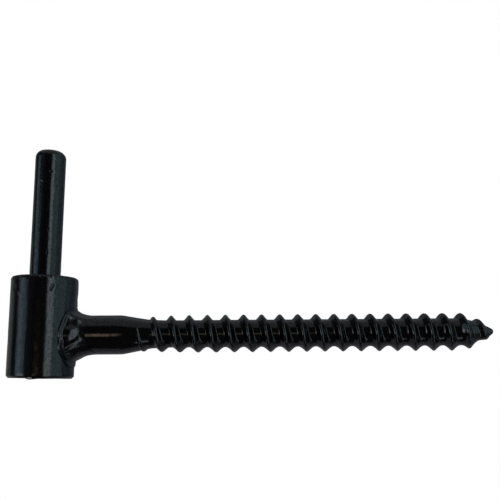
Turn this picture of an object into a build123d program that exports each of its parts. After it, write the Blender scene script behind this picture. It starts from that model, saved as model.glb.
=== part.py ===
from build123d import *

import os
from math import ceil, cos, pi, radians, sin, tan

from numpy import interp

# Lag screw pintle: a round pin standing in a short barrel, with a lag screw welded to the
# barrel's side. +Z runs up the pin, the screw leaves towards +X, and the origin is on the
# pin's axis at its shoulder, where a hinge eye comes to rest. Lengths are millimetres.

# Pintle pin: a turned rod with a slimmer tail that passes down through the barrel
pin_diameter = 7.6
pin_height = 32.3
pin_end_radius = 1.7
tail_diameter = 7.0
tail_recess = 1.4  # how far the tail's end stops short of the barrel's underside

# Barrel: a cut length of round bar, bored through for the tail
barrel_diameter = 16.4
barrel_height = 25.0
barrel_edge_radius = 0.8
bore_clearance = 0.05  # radial, round the tail
mouth_chamfer = 0.6  # at the bore's lower mouth, filled by the plug weld

# Plug weld that closes the bore's lower mouth
plug_proud = 0.3

# Lag screw: shank, drawn-down neck, coarse wood thread and gimlet point. Distances along the
# screw are from the barrel's axis.
screw_height = 10.7  # of its axis above the barrel's underside, at the barrel's axis
screw_rise = 1.3  # degrees that the screw climbs towards its point
screw_reach = 112.2  # to the point's tip
shank_diameter = 9.45
shank_end = 19.9
shank_step = 0.08  # radial, down to the start of the neck
neck_diameter = 7.1
neck_length = 6.1
root_fade_length = 4.0  # from the neck's end to where the root has its full depth
root_diameter = 6.7
crest_diameter = 9.4
thread_pitch = 4.5
ridge_root_width = 3.0
ridge_crest_width = 0.5
foot_flare = 0.55  # slope of the flank at its foot, as a share of a straight flank's
crest_steepness = 1.5  # and at its crest
first_crest_diameter = 8.1  # of the crest's taper at the shank's end
crest_taper_length = 16.0  # from the shank's end to where the crest is full
point_length = 8.22
point_bulge = 0.45  # how far the cone's side stands out from a straight line
point_tip_diameter = 1.0
point_full_share = 0.2  # of the point's length with the ridge at its full height
point_low_share = 0.45  # of the point's length, to where the ridge is low
point_low_ridge = 0.6
point_thread_share = 0.92  # of the point's length that carries thread
thinnest_ridge = 0.02  # what is left of the ridge where the thread has run out
sections_per_turn = 8  # of the thread where its size changes
weld_gap = 0.02  # between the coped shank and the barrel

# Fillet weld round the shank's foot
weld_barrel_leg = 2.5
weld_shank_leg = 4.0

# Values worked out from those above
pin_radius = pin_diameter / 2
tail_radius = tail_diameter / 2
tail_end = tail_recess - barrel_height
bore_radius = tail_radius + bore_clearance
mouth_radius = bore_radius + mouth_chamfer
barrel_radius = barrel_diameter / 2
shank_radius = shank_diameter / 2
root_radius = root_diameter / 2
crest_radius = crest_diameter / 2
ridge_height = crest_radius - root_radius
neck_end = shank_end + neck_length
full_root = neck_end + root_fade_length
full_crest = shank_end + crest_taper_length
full_thread = max(full_root, full_crest)
point_start = screw_reach - point_length

underside = Plane.XY.offset(-barrel_height)
screw_direction = Vector(cos(radians(screw_rise)), 0, sin(radians(screw_rise)))
screw_up = Vector(-screw_direction.Z, 0, screw_direction.X)
screw_origin = Vector(0, 0, screw_height - barrel_height)

os.makedirs("parts", exist_ok=True)


def on_screw(distance):
    """The point on the screw's axis at this distance from the barrel's axis."""
    return screw_origin + screw_direction * distance


def across_screw(distance):
    """The plane square to the screw at this distance, with its x axis pointing up."""
    return Plane(origin=on_screw(distance), x_dir=screw_up, z_dir=screw_direction)


def root_and_ridge(distance):
    """The root's radius and the ridge's height at this distance along the screw."""
    if distance <= point_start:
        neck_start_radius = shank_radius - shank_step
        root = interp(
            distance,
            (shank_end, neck_end, full_root),
            (neck_start_radius, neck_diameter / 2, root_radius),
        )
        crest = interp(
            distance, (shank_end, full_crest), (first_crest_diameter / 2, crest_radius)
        )
        return root, max(crest - root, thinnest_ridge)
    share = (distance - point_start) / point_length
    cone = root_radius + (point_tip_diameter / 2 - root_radius) * share
    ridge = interp(
        share,
        (point_full_share, point_low_share, point_thread_share),
        (ridge_height, point_low_ridge, thinnest_ridge),
    )
    return cone + point_bulge * 4 * share * (1 - share), ridge


def thread_section(distance):
    """The screw cut square across: a root circle with the ridge bulging out of one side.

    Along a helix an offset of one pitch is one turn, so the ridge's widths become angles, and
    the whole section turns once in each pitch.
    """
    root, ridge = root_and_ridge(distance)
    crest = root + ridge
    foot_angle = pi * ridge_root_width / thread_pitch
    crest_angle = pi * ridge_crest_width / thread_pitch
    handle = 4 / 3 * tan((foot_angle - crest_angle) / 4)
    turned = 2 * pi * (distance - point_start) / thread_pitch

    def polar(outwards, sideways, angle):
        """A point given along and across the spoke at this angle from the ridge's middle."""
        spoke = turned + angle
        return (
            outwards * cos(spoke) - sideways * sin(spoke),
            outwards * sin(spoke) + sideways * cos(spoke),
        )

    def flank(side):
        """The control points of one flank, from its foot to the crest."""
        return (
            polar(root, 0, side * foot_angle),
            polar(root + ridge * foot_flare / 3, -side * root * handle, side * foot_angle),
            polar(crest - ridge * crest_steepness / 3, side * crest * handle, side * crest_angle),
            polar(crest, 0, side * crest_angle),
        )

    leading, trailing = flank(1), flank(-1)
    with BuildSketch(across_screw(distance)) as section:
        with BuildLine():
            Bezier(*leading)
            ThreePointArc(leading[-1], polar(crest, 0, 0), trailing[-1])
            Bezier(*reversed(trailing))
            ThreePointArc(trailing[0], polar(root, 0, pi), leading[0])
        make_face()
    return section.sketch


def thread_sections(start, end):
    """Evenly spaced sections for a loft from one distance to another."""
    steps = ceil((end - start) / thread_pitch * sections_per_turn)
    return [thread_section(start + (end - start) * step / steps) for step in range(steps + 1)]


# Barrel
with BuildPart() as barrel:
    with BuildSketch(underside):
        Circle(barrel_radius)
    extrude(amount=barrel_height)
    rims = barrel.edges().filter_by(GeomType.CIRCLE)
    fillet(rims, radius=barrel_edge_radius)
    with BuildSketch(underside):
        Circle(bore_radius)
    extrude(amount=barrel_height, mode=Mode.SUBTRACT)
    with BuildSketch(underside):
        Circle(mouth_radius)
    with BuildSketch(underside.offset(mouth_chamfer)):
        Circle(bore_radius)
    loft(mode=Mode.SUBTRACT)
barrel.part.label = "barrel"
export_step(barrel.part, "parts/barrel.step")


# Pintle pin
with BuildPart() as pintle_pin:
    with BuildSketch(Plane.XZ):
        with BuildLine():
            Polyline((0, tail_end), (tail_radius, tail_end), (tail_radius, 0), (pin_radius, 0))
            Line((pin_radius, 0), (pin_radius, pin_height - pin_end_radius))
            RadiusArc(
                (pin_radius, pin_height - pin_end_radius),
                (pin_radius - pin_end_radius, pin_height),
                -pin_end_radius,
            )
            Polyline((pin_radius - pin_end_radius, pin_height), (0, pin_height), (0, tail_end))
        make_face()
    revolve(axis=Axis.Z)
pintle_pin.part.label = "pintle_pin"
export_step(pintle_pin.part, "parts/pintle_pin.step")


# Plug weld: it fills the bore below the tail and stands out as a shallow cap
with BuildPart() as plug_weld:
    with BuildSketch(Plane.XZ):
        with BuildLine():
            cap_bottom = -barrel_height - plug_proud
            TangentArc((0, cap_bottom), (mouth_radius, -barrel_height), tangent=(1, 0))
            Polyline(
                (mouth_radius, -barrel_height),
                (bore_radius, -barrel_height + mouth_chamfer),
                (bore_radius, tail_end),
                (0, tail_end),
                (0, cap_bottom),
            )
        make_face()
    revolve(axis=Axis.Z)
plug_weld.part.label = "plug_weld"
export_step(plug_weld.part, "parts/plug_weld.step")


# Lag screw
with BuildPart() as lag_screw:
    # Where the thread is full, one section is swept and a helix turns it as it goes
    with BuildLine() as spine:
        Line(on_screw(full_thread), on_screw(point_start))
    with BuildLine() as turning_guide:
        Helix(
            pitch=thread_pitch,
            height=point_start - full_thread,
            radius=crest_radius,
            center=on_screw(full_thread),
            direction=screw_direction,
        )
    sweep(thread_section(full_thread), path=spine.edge(), binormal=turning_guide.edge())
    # The point, and the neck where the thread rises out of it
    loft(thread_sections(point_start, screw_reach))
    loft(thread_sections(shank_end, full_thread))
    with BuildSketch(across_screw(0)):
        Circle(shank_radius)
    extrude(amount=shank_end)
    # The shank's foot is coped to the barrel's side
    with BuildSketch(underside):
        Circle(barrel_radius + weld_gap)
    extrude(amount=barrel_height, mode=Mode.SUBTRACT)
lag_screw.part.label = "lag_screw"
export_step(lag_screw.part, "parts/lag_screw.step")


# Fillet weld: what a bevel along the corner between barrel and shank adds to the two
with BuildPart() as weld_bead:
    with BuildSketch(underside):
        Circle(barrel_radius)
    extrude(amount=barrel_height)
    with BuildSketch(across_screw(0)):
        Circle(shank_radius)
    extrude(amount=shank_end)
    barrel_side = weld_bead.faces().filter_by(GeomType.CYLINDER).sort_by(SortBy.RADIUS)[-1]
    corner = barrel_side.edges().filter_by(
        lambda edge: edge.geom_type not in (GeomType.CIRCLE, GeomType.LINE)
    )
    chamfer(
        corner, length=weld_barrel_leg, length2=weld_shank_leg, reference=barrel_side
    )
    with BuildSketch(underside):
        Circle(barrel_radius)
    extrude(amount=barrel_height, mode=Mode.SUBTRACT)
    with BuildSketch(across_screw(0)):
        Circle(shank_radius)
    extrude(amount=shank_end, mode=Mode.SUBTRACT)
weld_bead.part.label = "weld_bead"
export_step(weld_bead.part, "parts/weld_bead.step")
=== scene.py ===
from math import cos, degrees, exp, log, radians, sin, sqrt, tan, tau

import bmesh
import bpy
from bpy.props import FloatProperty, FloatVectorProperty, PointerProperty
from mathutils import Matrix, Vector, noise
from numpy import interp


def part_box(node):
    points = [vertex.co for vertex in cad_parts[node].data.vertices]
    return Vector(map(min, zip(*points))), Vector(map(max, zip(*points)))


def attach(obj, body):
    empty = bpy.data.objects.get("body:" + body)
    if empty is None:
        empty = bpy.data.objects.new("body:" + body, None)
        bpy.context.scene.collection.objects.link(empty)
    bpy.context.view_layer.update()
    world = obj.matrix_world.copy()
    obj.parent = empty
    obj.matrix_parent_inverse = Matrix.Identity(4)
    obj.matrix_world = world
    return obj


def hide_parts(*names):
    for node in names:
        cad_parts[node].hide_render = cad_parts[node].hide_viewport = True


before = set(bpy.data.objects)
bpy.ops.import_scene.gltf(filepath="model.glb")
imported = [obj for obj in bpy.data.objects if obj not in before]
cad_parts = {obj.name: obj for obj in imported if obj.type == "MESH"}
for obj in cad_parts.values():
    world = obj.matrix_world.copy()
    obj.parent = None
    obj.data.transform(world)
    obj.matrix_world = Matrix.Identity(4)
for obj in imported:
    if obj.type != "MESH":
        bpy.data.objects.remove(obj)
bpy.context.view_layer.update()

bl_info = {
    "name": "Lag Screw Pintle",
    "version": (1, 0, 0),
    "blender": (4, 5, 0),
    "location": "View3D > Sidebar > Pintle",
    "description": "Builds a black coated hinge pintle with a welded lag screw",
    "category": "Add Mesh",
}

# Lengths below are millimetres and angles are degrees, in the frame of the CAD solids: +Z up
# the pin, the screw towards +X, the origin on the pin's axis at its shoulder. Azimuths turn
# about +Z from -Y towards +X, and clock angles turn about the screw from up towards -Y.
# Something that fades does so between the two places given for it. Lumps come in layers, and
# each layer is their height, their size and a seed.
MM = 0.001


def box_in_mm(node):
    """The lowest and highest corner of a CAD node, in millimetres."""
    low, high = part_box(node)
    return low / MM, high / MM


barrel_low, barrel_high = box_in_mm("barrel")
pin_low, pin_high = box_in_mm("pintle_pin")
plug_top = box_in_mm("plug_weld")[1].z

# Barrel: its upper rim is rounded, and its lower one bevelled with rounded corners
BARREL_RIM = 0.8
FOOT_BEVEL = 0.55
FOOT_TURN = 0.3
BORE_RADIUS = 3.55
MOUTH_CHAMFER = 0.6
BARREL_LUMPS = ((0.012, 2.2, 3.1), (0.007, 0.8, 7.7))
BARREL_COLUMNS = 400

# Pin, and its tail in the barrel
TAIL_RADIUS = 3.5
PIN_END_RADIUS = 1.7
PIN_COAT = 0.04  # how thick the coat lies on it
PIN_LUMPS = ((0.012, 1.8, 1.3), (0.004, 0.7, 4.4))
PIN_END_LUMPS = ((0.014, 0.7, 4.4),)
PIN_END_FADE = (20, 30)
PIN_CROWN = 0.3  # how far the middle of its end is domed
PIN_CROWN_RADIUS = 3.8  # where the dome ends
PIN_CROWN_LEAN = 0.035  # how far it falls away towards the screw, for each millimetre
PIN_CROWN_FADE = (29.5, 31.5)
PIN_COLUMNS = 216

# Plug weld
PLUG_GAP = 0.01  # between it and the bore
PLUG_CAP = 0.1  # how far the middle of its cap stands out
PLUG_BUMP_PLACE = (-1.6, -1.2)
PLUG_BUMP = (0.9, 0.17)  # width and height
PLUG_LUMPS = ((0.03, 0.9, 2.2),)
PLUG_RINGS = 22
PLUG_COLUMNS = 96

# Screw: distances along it are from the barrel's axis
SCREW_RISE = 1.3  # degrees
SCREW_HEIGHT = 10.7  # of its axis above the barrel's underside
SCREW_REACH = 112.2
WELD_GAP = 0.02  # between its coped foot and the barrel
SHANK_RADIUS = 4.83
SHANK_END = 19.9
SHANK_DROP = 0.14  # how far the shank lies below the thread's axis
SHANK_DROP_FADE = (SHANK_END + 1, SHANK_END + 11)
SHANK_OVAL = 0.125  # how far it is out of round
SHANK_OVAL_FADE = (SHANK_END - 1, 24)
FOOT_RINGS = (0.7, 0.35)  # of the mesh inside the coped foot, as shares of its radius
SCREW_LUMPS = ((0.008, 1.1, 5.2), (0.008, 3.0, 8.1))
THREAD_COLUMNS = 72

# The thread's ridge
RIDGE_DEPTH = 1.35
CREST_HALF = 0.25  # half the width of its crest
FOOT_HALF = 1.5  # half the width of its foot
FLANK_HOLLOW = 1.41  # a power, 1 for a straight flank
CREST_ROUNDING = 0.12  # as a share of its depth
EDGE_ROUNDING = 0.07
UNDER_FILL = 0.7  # what the coat that ran down adds to FOOT_HALF on the underside
UNDER_HOLLOW = 0.3  # and to FLANK_HOLLOW
UNDER_FADE = (0.3, 0.95)  # by how far the skin faces down

# Radii of the core and of the crests, by distance along the neck and the thread
CORE_RADII = (
    (SHANK_END - 0.2, SHANK_RADIUS), (SHANK_END + 0.6, 4.74), (23.5, 4.2), (27.0, 3.56),
    (31.0, 3.38),
)
CREST_RADII = (
    (22.0, 3.95), (23.0, 4.12), (24.0, 4.2), (26.4, 4.33), (31.0, 4.56), (35.4, 4.65),
    (40.0, 4.7),
)

# The screw's point: its core is a cone with bulging sides
POINT_START = 103.98
POINT_LENGTH = SCREW_REACH - POINT_START
POINT_ROOT = 3.35  # the core's radius where the point starts
POINT_TAPER = 2.85  # how much of that the cone loses
POINT_BULGE = 1.8
TIP_ROUNDING = 0.35
TIP_MARGIN = 0.02  # between the mesh's last ring and the tip
# The ridge's depth by share of the point's length
POINT_DEPTHS = (
    (0.0, RIDGE_DEPTH), (0.2, RIDGE_DEPTH), (0.3, 1.25), (0.55, 0.95), (0.8, 0.6), (0.94, 0.0),
)
# Offsets from a ridge's middle to the rows of the mesh on one side of it, up to half a pitch
ROW_OFFSETS = (
    0.0, 0.16, 0.24, 0.31, 0.4, 0.54, 0.7, 0.87, 1.04, 1.18, 1.29, 1.38, 1.45, 1.52, 1.61, 1.75,
    1.98,
)


class PintleSettings(bpy.types.PropertyGroup):
    """Sizes and colours of the pintle."""

    barrel_diameter: FloatProperty(
        name="Barrel diameter",
        description="Outside diameter of the barrel",
        default=(barrel_high.x - barrel_low.x) * MM,
        min=0.010,
        max=0.020,
        unit="LENGTH",
    )
    barrel_height: FloatProperty(
        name="Barrel height",
        description="From the barrel's underside to the pin's shoulder",
        default=(barrel_high.z - barrel_low.z) * MM,
        min=0.015,
        max=0.040,
        unit="LENGTH",
    )
    pin_diameter: FloatProperty(
        name="Pin diameter",
        description="Diameter of the upright pin",
        default=(pin_high.x - pin_low.x) * MM,
        min=0.004,
        max=0.012,
        unit="LENGTH",
    )
    pin_height: FloatProperty(
        name="Pin height",
        description="From the pin's shoulder to its rounded end",
        default=pin_high.z * MM,
        min=0.010,
        max=0.060,
        unit="LENGTH",
    )
    thread_pitch: FloatProperty(
        name="Thread pitch",
        description="Distance between neighbouring ridges of the wood thread",
        default=4.5 * MM,
        min=0.003,
        max=0.006,
        unit="LENGTH",
    )
    coat_colour: FloatVectorProperty(
        name="Coat colour",
        description="Colour of the black coat that covers the whole pintle",
        default=(0.0009, 0.0009, 0.001),
        subtype="COLOR",
        min=0.0,
        max=1.0,
    )
    steel_colour: FloatVectorProperty(
        name="Bare steel colour",
        description="Colour of the steel where the coat has rubbed off",
        default=(0.14, 0.135, 0.135),
        subtype="COLOR",
        min=0.0,
        max=1.0,
    )


def settings():
    """The pintle's settings in this scene."""
    return bpy.context.scene.pintle_settings


# Meshes


def upright(radius, azimuth, height):
    """A point in metres about the Z axis, from millimetres and radians."""
    return Vector((radius * sin(azimuth), -radius * cos(azimuth), height)) * MM


def along_table(table, place):
    """What a table of (place, measure) rows gives at a place, on straight runs between them."""
    return interp(place, *zip(*table))


def wrapped(angle):
    """An angle in degrees brought to between -180 and 180."""
    return (angle + 180) % 360 - 180


def soft_step(low, high, value):
    """0 below low, 1 above high, and a smooth rise between them."""
    share = min(max((value - low) / (high - low), 0.0), 1.0)
    return share * share * (3 - 2 * share)


def lumps(place, size, seed):
    """Smooth lumps of about this size in mm, from -1 to 1, at a place in mm."""
    return noise.noise(Vector(place) / size + Vector((seed, seed * 1.7, -seed)))


def layered(layers, place):
    """Layers of lumps summed at a place, in mm."""
    return sum(height * lumps(place, size, seed) for height, size, seed in layers)


def close_to(angle, other, spread):
    """1 at an angle and falling away to 0 round it, in degrees, also across the seam."""
    return exp(-((wrapped(angle - other) / spread) ** 2))


def raised_lump(place, lump, scale):
    """How high a lump stands at a place on a skin, given as an angle and a second measure.

    A lump is its two ends, its width and its height in mm, and scale turns the place into mm.
    """
    start, end, width, height = lump
    spot, tail, head = (
        Vector((angle * scale[0], other * scale[1])) for angle, other in (place, start, end)
    )
    along = head - tail
    share = min(max((spot - tail).dot(along) / along.dot(along), 0.0), 1.0)
    away = (spot - tail - along * share).length
    return height * exp(-((away / width) ** 2))


def joined_rings(bm, rings, closed):
    """Quads between neighbouring columns of vertices. Each column is one list."""
    count = len(rings)
    for column, ring in enumerate(rings):
        following = rings[(column + 1) % count]
        rows = len(ring) if closed else len(ring) - 1
        for row in range(rows):
            below = (row + 1) % len(ring)
            bm.faces.new((ring[row], ring[below], following[below], following[row]))


def turned(profile, columns, move, closed=False):
    """The mesh of a profile of (radius, height) points turned about the Z axis.

    move gives how far a point on it is pushed out and up. An open profile ends on the axis.
    """
    bm = bmesh.new()
    rings = []
    for column in range(columns):
        azimuth = tau * column / columns
        ring = []
        for radius, height in profile:
            outwards, upwards = move(radius, degrees(azimuth), height)
            ring.append(bm.verts.new(upright(radius + outwards, azimuth, height + upwards)))
        rings.append(ring)
    joined_rings(bm, rings, closed)
    if not closed:
        for end in (0, -1):
            centre = sum((ring[end].co for ring in rings), Vector()) / columns
            pole = bm.verts.new(centre)
            for column, ring in enumerate(rings):
                bm.faces.new((pole, ring[end], rings[(column + 1) % columns][end]))
    return bm


def stepped(start, end, step):
    """Points along a straight run of a profile, its start included and its end left out."""
    count = max(1, round((Vector(end) - Vector(start)).length / step))
    return [
        (
            start[0] + (end[0] - start[0]) * share / count,
            start[1] + (end[1] - start[1]) * share / count,
        )
        for share in range(count)
    ]


def rounded(centre, radius, start, end, steps):
    """Points along an arc of a profile, with both of its ends, from angles in degrees."""
    return [
        (
            centre[0] + radius * cos(radians(start + (end - start) * step / steps)),
            centre[1] + radius * sin(radians(start + (end - start) * step / steps)),
        )
        for step in range(steps + 1)
    ]


def finished_piece(name, bm, material, node, sharp=40):
    """The piece from its mesh, set on its body, in place of its CAD node."""
    bmesh.ops.recalc_face_normals(bm, faces=bm.faces)
    open_edges = [edge for edge in bm.edges if not edge.is_manifold]
    if open_edges:
        raise RuntimeError(f"{name} is open at {len(open_edges)} edges")
    mesh = bpy.data.meshes.new(name)
    bm.to_mesh(mesh)
    bm.free()
    mesh.shade_smooth()
    mesh.set_sharp_from_angle(angle=radians(sharp))
    mesh.materials.append(material)
    piece = bpy.data.objects.new(name, mesh)
    bpy.context.scene.collection.objects.link(piece)
    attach(piece, "root")
    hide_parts(node)
    return piece


# Materials

COAT_IOR = 1.37
MOST_SHINE = 0.8  # of the clear layer over the coat
# How many features there are in a millimetre
PEEL_PER_MM = 1.6
SAG_PER_MM = 0.28
NIB_PER_MM = 3.4
DULL_PER_MM = 0.35
GRAIN_PER_MM = 2.6
SCRATCH_PER_MM = 2.6
SCRATCHED_PER_MM = 0.22  # patches that hold scratches
SCRATCH_WIDTH = 0.012
# How high or deep the others are beside the orange peel
SAG_DEPTH = 4.0
NIB_DEPTH = 0.5
SCRATCH_DEPTH = 0.8
# What dull patches, scratches and bare steel do to the coat's roughness
DULL_SPREAD = 0.12
SCRATCH_ROUGHNESS = 0.35
BARE_ROUGHNESS = 0.4
BARE_FADE = (0.45, 0.65)  # as shares of the bare spot's half sizes


def add_node(tree, kind, inputs=None, **options):
    """A new node with its options set and its inputs given values or linked to sockets."""
    node = tree.nodes.new(kind)
    for option, value in options.items():
        setattr(node, option, value)
    for name, value in (inputs or {}).items():
        socket = node.inputs[name]
        if isinstance(value, bpy.types.NodeSocket):
            tree.links.new(value, socket)
        else:
            socket.default_value = value
    return node


def calculated(tree, operation, *values):
    """The result of a Math node."""
    return add_node(
        tree, "ShaderNodeMath", dict(enumerate(values)), operation=operation
    ).outputs[0]


def ramped(tree, value, low, high, out_low=0.0, out_high=1.0):
    """A value carried from one range to another by a smooth step."""
    node = add_node(
        tree,
        "ShaderNodeMapRange",
        {
            "Value": value,
            "From Min": low,
            "From Max": high,
            "To Min": out_low,
            "To Max": out_high,
        },
        interpolation_type="SMOOTHSTEP",
    )
    return node.outputs["Result"]


def noise_value(tree, place, per_mm, detail=2.0, roughness=0.5):
    """Noise from 0 to 1 with this many features in a millimetre."""
    node = add_node(
        tree,
        "ShaderNodeTexNoise",
        {"Vector": place, "Scale": per_mm / MM, "Detail": detail, "Roughness": roughness},
    )
    return node.outputs["Fac"]


def new_group(name, inputs, outputs):
    """An empty shader node group with these sockets, and its two ends."""
    group = bpy.data.node_groups.new(name, "ShaderNodeTree")
    for socket, kind, default in inputs:
        made = group.interface.new_socket(name=socket, in_out="INPUT", socket_type=kind)
        if default is not None:
            made.default_value = default
    for socket, kind in outputs:
        group.interface.new_socket(name=socket, in_out="OUTPUT", socket_type=kind)
    return group, add_node(group, "NodeGroupInput"), add_node(group, "NodeGroupOutput")


def placed_group(tree, group, inputs):
    """A node group placed in another tree."""
    return add_node(tree, "ShaderNodeGroup", inputs, node_tree=group)


def mixed_colour(tree, share, first, second):
    """Two colours mixed by a share of the second."""
    return add_node(
        tree, "ShaderNodeMix", {0: share, 6: first, 7: second}, data_type="RGBA"
    ).outputs[2]


def coat_skin_group():
    """How the dipped coat dried: long sags, orange peel, and nibs of dust under the coat."""
    group, start, end = new_group(
        "coat skin",
        (
            ("Place", "NodeSocketVector", None),
            ("Peel", "NodeSocketFloat", 1.0),
            ("Sag", "NodeSocketFloat", 1.0),
            ("Gloss", "NodeSocketFloat", 0.16),
        ),
        (
            ("Height", "NodeSocketFloat"),
            ("Roughness", "NodeSocketFloat"),
            ("Shine", "NodeSocketFloat"),
        ),
    )
    place = start.outputs["Place"]
    peel = noise_value(group, place, PEEL_PER_MM, detail=3.0, roughness=0.55)
    peel = calculated(group, "MULTIPLY", peel, start.outputs["Peel"])
    sag = noise_value(group, place, SAG_PER_MM, detail=1.0)
    deep = calculated(group, "MULTIPLY", start.outputs["Sag"], SAG_DEPTH)
    height = calculated(group, "ADD", peel, calculated(group, "MULTIPLY", sag, deep))
    nibs = ramped(group, noise_value(group, place, NIB_PER_MM, detail=1.0), 0.68, 0.8)
    height = calculated(group, "ADD", height, calculated(group, "MULTIPLY", nibs, NIB_DEPTH))
    group.links.new(height, end.inputs["Height"])
    dull = noise_value(group, place, DULL_PER_MM, detail=4.0, roughness=0.6)
    dull = calculated(group, "SUBTRACT", dull, 0.5)
    spread = calculated(group, "MULTIPLY", dull, DULL_SPREAD)
    group.links.new(
        calculated(group, "ADD", start.outputs["Gloss"], spread), end.inputs["Roughness"]
    )
    grain = noise_value(group, place, GRAIN_PER_MM, detail=2.0, roughness=0.6)
    group.links.new(ramped(group, grain, 0.3, 0.7, 0.0, MOST_SHINE), end.inputs["Shine"])
    return group


def scuff_group():
    """Fine scratches and rubbed spots, as a mask."""
    group, start, end = new_group(
        "scuffs",
        (
            ("Place", "NodeSocketVector", None),
            ("Amount", "NodeSocketFloat", 0.3),
        ),
        (("Mask", "NodeSocketFloat"),),
    )
    stretched = add_node(
        group,
        "ShaderNodeMapping",
        {"Vector": start.outputs["Place"], "Rotation": (0.5, 0.9, 0.3), "Scale": (1.0, 0.12, 1.0)},
    ).outputs["Vector"]
    lines = noise_value(group, stretched, SCRATCH_PER_MM, detail=1.0)
    edge = calculated(group, "ABSOLUTE", calculated(group, "SUBTRACT", lines, 0.5))
    thin = ramped(group, edge, 0.0, SCRATCH_WIDTH, 1.0, 0.0)
    patches = noise_value(group, start.outputs["Place"], SCRATCHED_PER_MM, detail=1.0)
    mask = calculated(group, "MULTIPLY", thin, ramped(group, patches, 0.58, 0.7))
    group.links.new(
        calculated(group, "MULTIPLY", mask, start.outputs["Amount"]), end.inputs["Mask"]
    )
    return group


def coated_steel(name, peel=1.0, sag=1.0, gloss=0.13, bump=22.0, scuffs=0.3, bare=None):
    """Glossy black coat over steel, off at one spot if its place and half sizes are given.

    bump is how deep the coat's features are, in micrometres.
    """
    material = bpy.data.materials.new(name)
    material.use_nodes = True
    tree = material.node_tree
    shader = tree.nodes["Principled BSDF"]
    colour = (*settings().coat_colour, 1.0)
    shader.inputs["Base Color"].default_value = colour
    shader.inputs["IOR"].default_value = COAT_IOR
    place = add_node(tree, "ShaderNodeTexCoord").outputs["Object"]
    skin = placed_group(
        tree,
        bpy.data.node_groups["coat skin"],
        {"Place": place, "Peel": peel, "Sag": sag, "Gloss": gloss},
    )
    scuffed = placed_group(
        tree, bpy.data.node_groups["scuffs"], {"Place": place, "Amount": scuffs}
    )
    roughness = calculated(
        tree,
        "ADD",
        skin.outputs["Roughness"],
        calculated(tree, "MULTIPLY", scuffed.outputs["Mask"], SCRATCH_ROUGHNESS),
    )
    shine = skin.outputs["Shine"]
    if bare:
        (x, y, z), sizes = bare
        away = add_node(
            tree,
            "ShaderNodeVectorMath",
            {0: place, 1: (x * MM, y * MM, z * MM)},
            operation="SUBTRACT",
        ).outputs[0]
        away = add_node(
            tree,
            "ShaderNodeVectorMath",
            {0: away, 1: [1 / (size * MM) for size in sizes]},
            operation="MULTIPLY",
        ).outputs[0]
        away = add_node(tree, "ShaderNodeVectorMath", {0: away}, operation="LENGTH")
        rubbed = ramped(tree, away.outputs["Value"], *BARE_FADE, 1.0, 0.0)
        steel = (*settings().steel_colour, 1.0)
        tree.links.new(mixed_colour(tree, rubbed, colour, steel), shader.inputs["Base Color"])
        rougher = calculated(tree, "MULTIPLY", rubbed, BARE_ROUGHNESS)
        roughness = calculated(tree, "ADD", roughness, rougher)
        shine = calculated(tree, "MULTIPLY", shine, calculated(tree, "SUBTRACT", 1.0, rubbed))
    tree.links.new(roughness, shader.inputs["Roughness"])
    tree.links.new(shine, shader.inputs["Coat Weight"])
    shader.inputs["Coat Roughness"].default_value = gloss
    height = calculated(
        tree,
        "SUBTRACT",
        skin.outputs["Height"],
        calculated(tree, "MULTIPLY", scuffed.outputs["Mask"], SCRATCH_DEPTH),
    )
    dents = add_node(
        tree, "ShaderNodeBump", {"Height": height, "Strength": 1.0, "Distance": bump * MM * MM}
    )
    tree.links.new(dents.outputs["Normal"], shader.inputs["Normal"])
    return material


# Barrel


def barrel_profile(radius, height):
    """The barrel's closed outline from its bore's top round to its bore again."""
    rim, mouth = BARREL_RIM, BORE_RADIUS + MOUTH_CHAMFER
    bevel = FOOT_BEVEL + FOOT_TURN * tan(radians(22.5))
    return [
        *stepped((BORE_RADIUS, 0), (radius - rim, 0), 0.4),
        *rounded((radius - rim, -rim), rim, 90, 0, 10),
        *stepped((radius, -rim - 0.2), (radius, rim - height + 0.2), 0.22),
        *rounded((radius - FOOT_TURN, bevel - height), FOOT_TURN, 0, -45, 5),
        *rounded((radius - bevel, FOOT_TURN - height), FOOT_TURN, -45, -90, 5),
        *stepped((radius - rim - 0.2, -height), (mouth, -height), 0.35),
        *stepped((mouth, -height), (BORE_RADIUS, MOUTH_CHAMFER - height), 0.3),
        *stepped((BORE_RADIUS, MOUTH_CHAMFER - height), (BORE_RADIUS, 0), 1.0),
    ]


# Dents in the barrel, each from one azimuth and height to another, with its width and depth.
# A lump has a depth under 0. The scale turns azimuths and heights into lengths on the skin.
BARREL_DENTS = (
    ((-40, -1.6), (-42, -1.2), 0.7, 0.07),
    ((-46, -3.0), (-44, -3.4), 0.7, 0.06),
    ((-38, -4.2), (-36, -4.1), 0.4, 0.05),
    ((-37, -4.9), (-34, -5.0), 0.35, -0.06),
    ((-66, -9.0), (-66, -9.6), 0.8, 0.03),
    ((-72, -15.5), (-72, -16.2), 0.9, 0.03),
    ((-58, -23.6), (-56, -23.5), 0.8, -0.05),
    ((22.6, -3.8), (28.4, -2.55), 0.24, 0.17),
    ((40, -1.4), (42, -1.6), 0.3, -0.04),
    ((10, -24.3), (12, -24.4), 0.5, 0.05),
    ((97, -6.9), (99, -6.9), 0.5, -0.16),
    ((99, -6.0), (100, -6.0), 0.35, -0.08),
    ((80, -2.6), (128, -2.6), 3.2, -0.2),
)
BARREL_SCALE = (0.143, 1.0)
# A drop of spatter on the lower rim, where the coat has come off: its place and half sizes
SPATTER_PLACE = (-0.68, -8.0, -24.95)
SPATTER_SIZE = (1.25, 0.7, 0.4)
SPATTER_HEIGHT = 0.32  # how far it hangs down
SPATTER_OUT = 0.3  # how far it stands out, as a share of that
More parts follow.
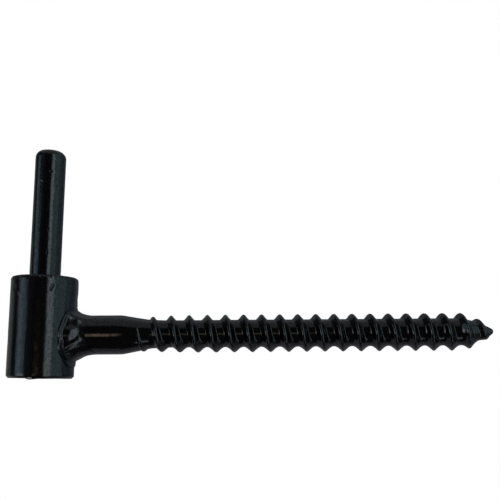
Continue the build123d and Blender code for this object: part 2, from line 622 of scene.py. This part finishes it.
# Chips along the upper rim
CHIP_DEPTH = 0.1  # and as much again round CHIPPED_SIDE
CHIP_SIZE = 0.7
CHIP_FALL = 0.6  # how far a chip lowers the rim, as a share of its depth
CHIP_FADE = (-1.3, -0.2)
CHIPPED_SIDE = -30
CHIPPED_SPREAD = 45


def barrel_shape(radius, azimuth, height):
    """How the barrel's skin stands in or out: dents, lumps, and chips along its upper rim."""
    if radius < BORE_RADIUS + 1.0:
        return 0.0, 0.0
    spot = upright(radius, radians(azimuth), height) / MM
    place = (wrapped(azimuth), height)
    dented = sum(raised_lump(place, dent, BARREL_SCALE) for dent in BARREL_DENTS)
    out = layered(BARREL_LUMPS, spot) - dented
    chipped = soft_step(0.0, 0.4, lumps(spot, CHIP_SIZE, 5.5)) * soft_step(*CHIP_FADE, height)
    chipped *= CHIP_DEPTH + CHIP_DEPTH * close_to(azimuth, CHIPPED_SIDE, CHIPPED_SPREAD)
    away = [(at - to) / half for at, to, half in zip(spot, SPATTER_PLACE, SPATTER_SIZE)]
    spatter = SPATTER_HEIGHT * exp(-sum(share**2 for share in away) ** 2)
    return out - chipped + SPATTER_OUT * spatter, -CHIP_FALL * chipped - spatter


class MESH_OT_pintle_barrel(bpy.types.Operator):
    """Build the barrel, a bored length of round bar"""

    bl_idname = "mesh.pintle_barrel"
    bl_label = "Barrel"

    def execute(self, context):
        radius = settings().barrel_diameter / 2 / MM
        height = settings().barrel_height / MM
        profile = barrel_profile(radius, height)
        bm = turned(profile, BARREL_COLUMNS, barrel_shape, closed=True)
        coat = coated_steel("black coat on the barrel", bare=(SPATTER_PLACE, SPATTER_SIZE))
        finished_piece("barrel_body", bm, coat, "barrel")
        return {"FINISHED"}


# Pin


def pin_profile(radius, height, tail_end):
    """The pin's outline from the middle of its rounded end down to its tail's end."""
    end = PIN_END_RADIUS
    return [
        *stepped((0.3, height), (radius - end, height), 0.3),
        *rounded((radius - end, height - end), end, 90, 0, 10),
        *stepped((radius, height - end - 0.2), (radius, 0.2), 0.16),
        *stepped((radius, 0.0), (TAIL_RADIUS, 0.0), 0.3),
        *stepped((TAIL_RADIUS, 0.0), (TAIL_RADIUS, tail_end), 2.0),
        *stepped((TAIL_RADIUS, tail_end), (0.3, tail_end), 0.8),
        (0.3, tail_end),
    ]


# Lumps and scratches on the pin, given like the barrel's dents
PIN_MARKS = (
    ((2, 26.4), (6, 26.6), 0.22, -0.045),
    ((2, 25.4), (7, 25.3), 0.2, -0.04),
    ((-20, 24.3), (-10, 23.9), 0.14, -0.07),
    ((-8, 24.4), (2, 23.9), 0.14, -0.07),
    ((17, 26.5), (19, 26.5), 0.6, 0.05),
    ((16, 12.0), (17, 11.4), 0.25, 0.025),
    ((17, 6.5), (16, 5.5), 0.3, 0.025),
)
PIN_SCALE = (0.066, 1.0)


def pin_shape(radius, azimuth, height):
    """How the pin's skin stands in or out."""
    if height <= 0:
        return 0.0, 0.0
    spot = upright(radius, radians(azimuth), height) / MM
    dome = PIN_CROWN * (1 - (radius / PIN_CROWN_RADIUS) ** 2) - PIN_CROWN_LEAN * spot.x
    crowned = soft_step(*PIN_CROWN_FADE, height) * dome
    if radius < 2.0:
        return 0.0, crowned
    near_end = soft_step(*PIN_END_FADE, height)
    out = PIN_COAT + layered(PIN_LUMPS, spot) + near_end * layered(PIN_END_LUMPS, spot)
    place = (wrapped(azimuth), height)
    return out - sum(raised_lump(place, mark, PIN_SCALE) for mark in PIN_MARKS), crowned


class MESH_OT_pintle_pin(bpy.types.Operator):
    """Build the upright pin with its rounded end, and its tail in the barrel"""

    bl_idname = "mesh.pintle_pin"
    bl_label = "Pin"

    def execute(self, context):
        radius = settings().pin_diameter / 2 / MM
        height = settings().pin_height / MM
        bm = turned(pin_profile(radius, height, pin_low.z), PIN_COLUMNS, pin_shape)
        coat = coated_steel("black coat on the pin", peel=1.3)
        finished_piece("pin_body", bm, coat, "pintle_pin")
        return {"FINISHED"}


# Plug weld


class MESH_OT_pintle_plug(bpy.types.Operator):
    """Build the plug weld that closes the bore at the barrel's underside"""

    bl_idname = "mesh.pintle_plug"
    bl_label = "Plug weld"

    def execute(self, context):
        underside = barrel_low.z
        mouth = BORE_RADIUS + MOUTH_CHAMFER - PLUG_GAP
        bore = BORE_RADIUS - PLUG_GAP
        profile = [
            (0.4, plug_top),
            *stepped((bore, plug_top), (bore, underside + MOUTH_CHAMFER), 0.6),
            *stepped((bore, underside + MOUTH_CHAMFER), (mouth, underside), 0.3),
            *[(mouth * (1 - step / PLUG_RINGS), underside) for step in range(PLUG_RINGS)],
        ]
        bump_place = Vector(PLUG_BUMP_PLACE)
        bump_width, bump_height = PLUG_BUMP

        def cap(radius, azimuth, height):
            """How far the plug's cap stands out below the barrel."""
            if height > underside + PLUG_GAP:
                return 0.0, 0.0
            spot = upright(radius, radians(azimuth), height) / MM
            share = 1 - (radius / mouth) ** 2
            away = (spot.xy - bump_place).length
            bump = bump_height * exp(-((away / bump_width) ** 2)) * soft_step(0, 0.25, share)
            return 0.0, -(PLUG_CAP * share + bump + share * layered(PLUG_LUMPS, spot))

        bm = turned(profile, PLUG_COLUMNS, cap)
        coat = coated_steel("black coat on the plug weld", peel=2.0)
        finished_piece("plug_cap", bm, coat, "plug_weld")
        return {"FINISHED"}


# Lag screw

SCREW_START = Vector((0, 0, SCREW_HEIGHT + barrel_low.z))
SCREW_AHEAD = Vector((cos(radians(SCREW_RISE)), 0, sin(radians(SCREW_RISE))))
SCREW_UP = Vector((-SCREW_AHEAD.z, 0, SCREW_AHEAD.x))
SCREW_FRONT = Vector((0, -1, 0))


def off_screw(clock):
    """The direction away from the screw's axis at this clock angle, in radians."""
    return SCREW_UP * cos(clock) + SCREW_FRONT * sin(clock)


def on_screw(distance, clock, radius):
    """A point in metres on the screw, from millimetres and radians.

    The shank was forged a little below the thread's axis.
    """
    drop = SHANK_DROP * (1 - soft_step(*SHANK_DROP_FADE, distance))
    along = SCREW_START + SCREW_AHEAD * distance
    return (along + off_screw(clock) * radius - SCREW_UP * drop) * MM


def coped(clock, radius, reach):
    """The distance at which a line along the screw leaves a cylinder round the Z axis."""
    across = radius * sin(clock)
    along = sqrt(reach * reach - across * across)
    return (along + radius * cos(clock) * SCREW_AHEAD.z) / SCREW_AHEAD.x


def ridge_share(offset, under):
    """The ridge's height as a share of its crest's, at this offset from its middle.

    The coat ran down and filled the feet of the ridges on the underside, where under is 1.
    """
    foot = FOOT_HALF + UNDER_FILL * under
    share = max(1 - (abs(offset) - CREST_HALF) / (foot - CREST_HALF), 0.0)
    flank = share ** (FLANK_HOLLOW + UNDER_HOLLOW * under)
    return -CREST_ROUNDING * log(exp(-1 / CREST_ROUNDING) + exp(-flank / CREST_ROUNDING))


def ridge_form(offset, under):
    """The ridge's share with its edges rounded over."""
    before = ridge_share(offset - EDGE_ROUNDING, under)
    after = ridge_share(offset + EDGE_ROUNDING, under)
    return (before + 2 * ridge_share(offset, under) + after) / 4


def screw_radius(distance, clock, pitch):
    """The screw's radius at this distance and clock angle, in millimetres and radians."""
    ridge = (distance - pitch * clock / tau - POINT_START + pitch / 2) % pitch - pitch / 2
    if distance <= POINT_START:
        core = along_table(CORE_RADII, distance)
        core += SHANK_OVAL * sin(2 * clock) * (1 - soft_step(*SHANK_OVAL_FADE, distance))
        crest = along_table(CREST_RADII, distance)
        depth = RIDGE_DEPTH
    else:
        share = (distance - POINT_START) / POINT_LENGTH
        core = POINT_ROOT - POINT_TAPER * share + POINT_BULGE * share * (1 - share)
        depth = along_table(POINT_DEPTHS, share)
        crest = core + depth
    form = ridge_form(ridge, soft_step(*UNDER_FADE, -cos(clock)))
    return max(core, crest - (1 - form) * depth)


def screw_mesh(pitch):
    """The screw from its coped foot to its point.

    Rows of the mesh run along the thread's helix, so a row that leaves the last column
    meets the first column one pitch further on.
    """
    bm = bmesh.new()
    offsets = [*ROW_OFFSETS, pitch / 2]
    one_turn = sorted({*offsets, *(pitch - offset for offset in offsets[1:-1])})
    rows_per_turn = len(one_turn)
    reach = barrel_high.x + WELD_GAP
    first_turn = int(-POINT_START // pitch) - 1
    rows = (-first_turn + int(POINT_LENGTH // pitch) + 2) * rows_per_turn
    last = SCREW_REACH - TIP_MARGIN
    columns = []
    for column in range(THREAD_COLUMNS):
        clock = tau * column / THREAD_COLUMNS
        first = coped(clock, SHANK_RADIUS, reach)
        line, previous = [], None
        for row in range(rows):
            turn, step = divmod(row, rows_per_turn)
            helix = POINT_START + (first_turn + turn) * pitch + one_turn[step]
            distance = min(max(helix + pitch * clock / tau, first), last)
            if previous is not None and distance == previous:
                line.append(line[-1])
                continue
            previous = distance
            radius = screw_radius(distance, clock, pitch)
            beyond = (distance - SCREW_REACH + TIP_ROUNDING) / TIP_ROUNDING
            if beyond > 0:
                radius *= sqrt(max(1 - beyond * beyond, 0.05))
            spot = on_screw(distance, clock, radius) / MM
            radius += layered(SCREW_LUMPS, spot)
            line.append(bm.verts.new(on_screw(distance, clock, radius)))
        columns.append(line)
    for column, line in enumerate(columns):
        last_column = column == THREAD_COLUMNS - 1
        following = columns[0] if last_column else columns[column + 1]
        ahead = rows_per_turn if last_column else 0
        for row in range(rows - 1):
            a, b = line[row], line[row + 1]
            c = following[min(row + 1 + ahead, rows - 1)]
            d = following[min(row + ahead, rows - 1)]
            corners = []
            for vertex in (a, b, c, d):
                if vertex not in corners:
                    corners.append(vertex)
            if len(corners) >= 3:
                bm.faces.new(corners)
    foot = [line[0] for line in columns]
    for share in FOOT_RINGS:
        radius = SHANK_RADIUS * share
        ring = []
        for column in range(THREAD_COLUMNS):
            clock = tau * column / THREAD_COLUMNS
            ring.append(bm.verts.new(on_screw(coped(clock, radius, reach), clock, radius)))
        for column in range(THREAD_COLUMNS):
            following = (column + 1) % THREAD_COLUMNS
            bm.faces.new((foot[column], foot[following], ring[following], ring[column]))
        foot = ring
    tip = [line[-1] for line in columns]
    for ring, place in ((foot, coped(0, 0, reach)), (tip, SCREW_REACH)):
        pole = bm.verts.new(on_screw(place, 0, 0))
        for column in range(THREAD_COLUMNS):
            bm.faces.new((pole, ring[column], ring[(column + 1) % THREAD_COLUMNS]))
    return bm


class MESH_OT_pintle_screw(bpy.types.Operator):
    """Build the lag screw: shank, neck, wood thread and gimlet point"""

    bl_idname = "mesh.pintle_screw"
    bl_label = "Lag screw"

    def execute(self, context):
        bm = screw_mesh(settings().thread_pitch / MM)
        coat = coated_steel("black coat on the screw", gloss=0.09, bump=4.0)
        finished_piece("screw_body", bm, coat, "lag_screw", sharp=60)
        return {"FINISHED"}


# Weld bead

# The weld at each clock angle: its reach over the barrel and along the shank, the height of the
# lip along its toe, and how far its face lies under a straight bevel just inside the lip
WELD_TABLE = (
    (0, 2.0, 4.0, 0.25, 0),
    (40, 2.2, 4.3, 0.3, 0.1),
    (57, 1.9, 4.6, 0.26, 0.35),
    (72, 1.6, 4.7, 0.2, 0.25),
    (90, 1.5, 4.8, 0.22, 0.1),
    (96, 1.55, 4.8, 0.2, 0.1),
    (100, 1.6, 4.8, 0.06, 0.15),
    (104, 1.7, 4.9, 0.06, 0.2),
    (110, 1.9, 5.0, 0.26, 0.45),
    (139, 3.2, 5.2, 0.45, 1.0),
    (154, 3.7, 5.3, 0.5, 0.9),
    (180, 3.0, 5.3, 0.3, 0.4),
    (220, 2.4, 4.9, 0.15, 0.1),
    (270, 1.6, 4.5, 0.2, 0.2),
    (320, 2.2, 4.2, 0.15, 0.1),
    (360, 2.0, 4.0, 0.25, 0),
)
WELD_CLOCKS, *WELD_MEASURES = zip(*WELD_TABLE)
WELD_HOLLOW = 0.65  # share by which its face is pulled towards the corner under it
WELD_FRONT_HOLLOW = 0.02  # that share at the front and back
WELD_RIPPLE = ((0.02, 1.5, 6.3),)
# Fades by share across its face
LIP_RISE = (0, 0.065)
LIP_FALL = (0.08, 0.2)
SINK_SHARES = ((0.06, 0), (0.2, 1), (1.0, 0))
FACE_RISE = (0, 0.1)
FACE_FALL = (0.8, 1)
WELD_DEPTH = (0.2, 0.25)  # how far its root lies inside the shank and the barrel
WELD_COLUMNS = 216
WELD_STEPS = 40
# Lumps on its face, each from one clock angle and share across to another, with its width and
# height. The scale turns clock angles and shares into lengths on the face.
WELD_LUMPS = (
    ((84, 0.44), (92, 0.38), 1.25, 0.38),
    ((104, 0.76), (124, 0.26), 0.45, 0.15),
    ((46, 0.28), (46, 0.6), 1.4, 0.36),
    ((60, 0.12), (62, 0.12), 0.4, 0.12),
    ((194, 0.45), (206, 0.45), 1.2, 0.25),
    ((248, 0.5), (262, 0.5), 1.2, 0.25),
    ((293, 0.4), (307, 0.4), 1.2, 0.22),
)
WELD_SCALE = (0.1, 6.1)


def weld_point(clock, across):
    """A point in mm on the weld's face, from its toe on the barrel, 0, to the shank, 1."""
    angle = degrees(clock) % 360
    on_barrel, on_shank, lip_height, sink = (
        interp(angle, WELD_CLOCKS, measure) for measure in WELD_MEASURES
    )
    on_barrel += 0.05 * sin(9 * clock + 1)
    on_shank += 0.1 * sin(5 * clock)
    radius = barrel_high.x
    wide = SHANK_RADIUS + on_barrel
    toe = on_screw(coped(clock, wide, radius), clock, wide) / MM
    root = coped(clock, SHANK_RADIUS, radius)
    end = on_screw(root + on_shank, clock, SHANK_RADIUS) / MM
    corner = on_screw(root, clock, SHANK_RADIUS) / MM
    hollow = WELD_HOLLOW + (WELD_FRONT_HOLLOW - WELD_HOLLOW) * sin(clock) ** 2
    pulled = corner * hollow + (toe + end) / 2 * (1 - hollow)
    left, right = (1 - across) ** 2, across**2
    spot = toe * left + pulled * 2 * across * (1 - across) + end * right
    outwards = off_screw(clock)
    chord = (end - toe).normalized()
    facing = (outwards - chord * outwards.dot(chord)).normalized()
    lip = lip_height * (soft_step(*LIP_RISE, across) * (1 - soft_step(*LIP_FALL, across)))
    lip -= sink * along_table(SINK_SHARES, across)
    raised = sum(raised_lump((angle, across), lump, WELD_SCALE) for lump in WELD_LUMPS)
    raised += layered(WELD_RIPPLE, spot)
    fade = soft_step(*FACE_RISE, across) * (1 - soft_step(*FACE_FALL, across))
    return spot + facing * (lip + raised * fade)


def weld_mesh():
    """The weld as a closed ring: its face, and the corner under it."""
    bm = bmesh.new()
    in_shank, in_barrel = WELD_DEPTH
    radius = SHANK_RADIUS - in_shank
    rings = []
    for column in range(WELD_COLUMNS):
        clock = tau * column / WELD_COLUMNS
        ring = [
            bm.verts.new(weld_point(clock, (step / WELD_STEPS) ** 1.5) * MM)
            for step in range(WELD_STEPS + 1)
        ]
        corner = coped(clock, radius, barrel_high.x) - in_barrel
        ring.append(bm.verts.new(on_screw(corner, clock, radius)))
        rings.append(ring)
    joined_rings(bm, rings, closed=True)
    return bm


class MESH_OT_pintle_weld(bpy.types.Operator):
    """Build the lumpy fillet weld round the shank's foot"""

    bl_idname = "mesh.pintle_weld"
    bl_label = "Weld bead"

    def execute(self, context):
        coat = coated_steel("black coat on the weld", peel=1.6, sag=1.5, gloss=0.14)
        finished_piece("weld_ring", weld_mesh(), coat, "weld_bead", sharp=60)
        return {"FINISHED"}


# Stage

CAMERA_PLACE = (50.84, -213.88, -24.17)
CAMERA_TURN = (98.508, -0.861, -0.254)
CAMERA_LENS = 61.72
CAMERA_SENSOR = 36.0
CAMERA_NEAR = 10.0  # nothing closer shows
FLOOR_DROP = 90.0  # below the barrel's underside
FLOOR_RADIUS = 20000.0
WHITE = (1.0, 1.0, 1.0, 1.0)
ROOM_COLOUR = (0.022, 0.021, 0.025, 1.0)  # between the studio's panels

# The studio as a polished part sees it, from the back layer to the front one: what each panel
# is, the azimuths and elevations between which it stands, how soft its edge is, and its light
STUDIO = (
    ("back wall, right", (104, 200), (-15, 60), 8, (0.12, 0.14, 0.17)),
    ("back wall, far left", (-200, -150), (-15, 60), 4, (0.10, 0.12, 0.13)),
    ("back wall, left", (-150, -104), (-30, 60), 4, (0.18, 0.205, 0.21)),
    ("ceiling", (-200, 200), (46, 95), 6, (0.28, 0.30, 0.32)),
    ("floor behind, right", (90, 200), (-81, -18), 3, (0.20, 0.20, 0.225)),
    ("floor behind, left", (-200, -90), (-81, -18), 3, (0.20, 0.20, 0.225)),
    ("left panel", (-80, -45), (-20, 45), 5, (0.46, 0.66, 0.82)),
    ("left panel's middle", (-74, -60), (-20, 45), 4, (0.68, 0.95, 1.14)),
    ("left panel's top", (-120, -45), (10, 45), 4, (0.04, 0.05, 0.07)),
    ("left panel's top, lit", (-90, -67), (8, 18), 3, (0.48, 0.68, 0.76)),
    ("low bar", (-74, -45), (-20, -3), 1, (2.2, 2.3, 2.35)),
    ("purple gap", (-43, -24), (-20, 45), 4, (0.05, 0.045, 0.075)),
    ("softbox", (24.5, 48), (-60, 45), 3, (1.33, 1.62, 1.72)),
    ("softbox's foot", (24.5, 48), (-60, 1), 3, (1.20, 1.36, 1.52)),
    ("right fill", (48, 91), (-16, 45), 5, (0.40, 0.60, 0.64)),
    ("right fill's end", (91, 112), (-16, 45), 5, (0.22, 0.32, 0.37)),
    ("low front, right", (48, 104), (-60, -18), 3, (0.12, 0.11, 0.14)),
    ("low wall, right", (92, 200), (-14, 0.5), 2, (0.08, 0.10, 0.12)),
    ("warm haze", (-14, 8), (-20, 3), 3, (0.034, 0.032, 0.026)),
    ("warm strip", (-12.2, -8.4), (-17, -2.4), 0.6, (1.35, 1.10, 0.76)),
    ("warm strip's end", (-8.4, 5), (-10, -1.0), 1.0, (0.50, 0.45, 0.30)),
)


def panel_group():
    """Where one panel of the studio stands, as a mask over azimuth and elevation."""
    group, start, end = new_group(
        "studio panel",
        (
            ("Azimuth", "NodeSocketFloat", 0.0),
            ("Elevation", "NodeSocketFloat", 0.0),
            ("From", "NodeSocketFloat", 0.0),
            ("To", "NodeSocketFloat", 10.0),
            ("Lowest", "NodeSocketFloat", 0.0),
            ("Highest", "NodeSocketFloat", 10.0),
            ("Edge", "NodeSocketFloat", 1.0),
        ),
        (("Mask", "NodeSocketFloat"),),
    )
    mask = None
    for value, low, high in (("Azimuth", "From", "To"), ("Elevation", "Lowest", "Highest")):
        for bound, inside in ((low, 1), (high, -1)):
            away = calculated(group, "SUBTRACT", start.outputs[value], start.outputs[bound])
            scaled = calculated(group, "DIVIDE", away, start.outputs["Edge"])
            side = ramped(group, calculated(group, "MULTIPLY", scaled, inside), -1.0, 1.0)
            mask = side if mask is None else calculated(group, "MULTIPLY", mask, side)
    group.links.new(mask, end.inputs["Mask"])
    return group


def studio_world():
    """Plain white light all round, and a studio of panels for what gloss reflects."""
    world = bpy.data.worlds.new("plain studio")
    world.use_nodes = True
    world.cycles.sampling_method = "NONE"
    tree = world.node_tree
    background = tree.nodes["Background"]
    towards = add_node(tree, "ShaderNodeTexCoord").outputs["Generated"]
    axes = add_node(tree, "ShaderNodeSeparateXYZ", {"Vector": towards}).outputs
    front = calculated(tree, "MULTIPLY", axes["Y"], -1.0)
    azimuth = calculated(tree, "DEGREES", calculated(tree, "ARCTAN2", axes["X"], front))
    elevation = calculated(tree, "DEGREES", calculated(tree, "ARCSINE", axes["Z"]))
    light = add_node(tree, "ShaderNodeRGB").outputs["Color"]
    light.default_value = ROOM_COLOUR
    group = panel_group()
    for name, (start, end), (lowest, highest), edge, colour in STUDIO:
        panel = placed_group(
            tree,
            group,
            {
                "Azimuth": azimuth,
                "Elevation": elevation,
                "From": start,
                "To": end,
                "Lowest": lowest,
                "Highest": highest,
                "Edge": edge,
            },
        )
        panel.label = name
        light = mixed_colour(tree, panel.outputs["Mask"], light, (*colour, 1.0))
    rays = add_node(tree, "ShaderNodeLightPath").outputs
    polished = calculated(tree, "MAXIMUM", rays["Is Glossy Ray"], rays["Is Transmission Ray"])
    shown = mixed_colour(tree, polished, WHITE, light)
    tree.links.new(shown, background.inputs["Color"])
    bpy.context.scene.world = world


class SCENE_OT_pintle_stage(bpy.types.Operator):
    """Set up the camera, the plain pale floor and the soft studio light"""

    bl_idname = "scene.pintle_stage"
    bl_label = "Stage"

    def execute(self, context):
        scene = context.scene
        scene.view_settings.view_transform = "Standard"
        studio_world()

        floor_mesh = bpy.data.meshes.new("floor")
        bm = bmesh.new()
        bmesh.ops.create_circle(bm, cap_ends=True, segments=64, radius=FLOOR_RADIUS * MM)
        bm.to_mesh(floor_mesh)
        bm.free()
        floor = bpy.data.objects.new("floor", floor_mesh)
        floor.location.z = (barrel_low.z - FLOOR_DROP) * MM
        scene.collection.objects.link(floor)
        floor.visible_glossy = False
        white = bpy.data.materials.new("plain white floor")
        white.use_nodes = True
        white.node_tree.nodes.remove(white.node_tree.nodes["Principled BSDF"])
        matt = add_node(white.node_tree, "ShaderNodeBsdfDiffuse", {"Color": WHITE})
        white.node_tree.links.new(
            matt.outputs["BSDF"], white.node_tree.nodes["Material Output"].inputs["Surface"]
        )
        floor_mesh.materials.append(white)

        camera = bpy.data.objects.new("camera", bpy.data.cameras.new("camera"))
        camera.location = Vector(CAMERA_PLACE) * MM
        camera.rotation_euler = [radians(angle) for angle in CAMERA_TURN]
        camera.data.lens = CAMERA_LENS
        camera.data.sensor_width = CAMERA_SENSOR
        camera.data.clip_start = CAMERA_NEAR * MM
        scene.collection.objects.link(camera)
        scene.camera = camera
        return {"FINISHED"}


class VIEW3D_PT_pintle(bpy.types.Panel):
    """Sizes, colours and pieces of the pintle"""

    bl_label = "Lag Screw Pintle"
    bl_space_type = "VIEW_3D"
    bl_region_type = "UI"
    bl_category = "Pintle"

    def draw(self, context):
        layout = self.layout
        sizes = layout.box()
        for name in PintleSettings.__annotations__:
            sizes.prop(context.scene.pintle_settings, name)
        for operator in PIECES:
            layout.operator(operator.bl_idname)


PIECES = (
    SCENE_OT_pintle_stage,
    MESH_OT_pintle_barrel,
    MESH_OT_pintle_pin,
    MESH_OT_pintle_plug,
    MESH_OT_pintle_screw,
    MESH_OT_pintle_weld,
)
CLASSES = (PintleSettings, *PIECES, VIEW3D_PT_pintle)


def register():
    for cls in CLASSES:
        bpy.utils.register_class(cls)
    bpy.types.Scene.pintle_settings = PointerProperty(type=PintleSettings)


def unregister():
    del bpy.types.Scene.pintle_settings
    for cls in reversed(CLASSES):
        bpy.utils.unregister_class(cls)


def main():
    register()
    coat_skin_group()
    scuff_group()
    bpy.ops.scene.pintle_stage()
    bpy.ops.mesh.pintle_barrel()
    bpy.ops.mesh.pintle_pin()
    bpy.ops.mesh.pintle_plug()
    bpy.ops.mesh.pintle_screw()
    bpy.ops.mesh.pintle_weld()


if __name__ == "__main__":
    main()
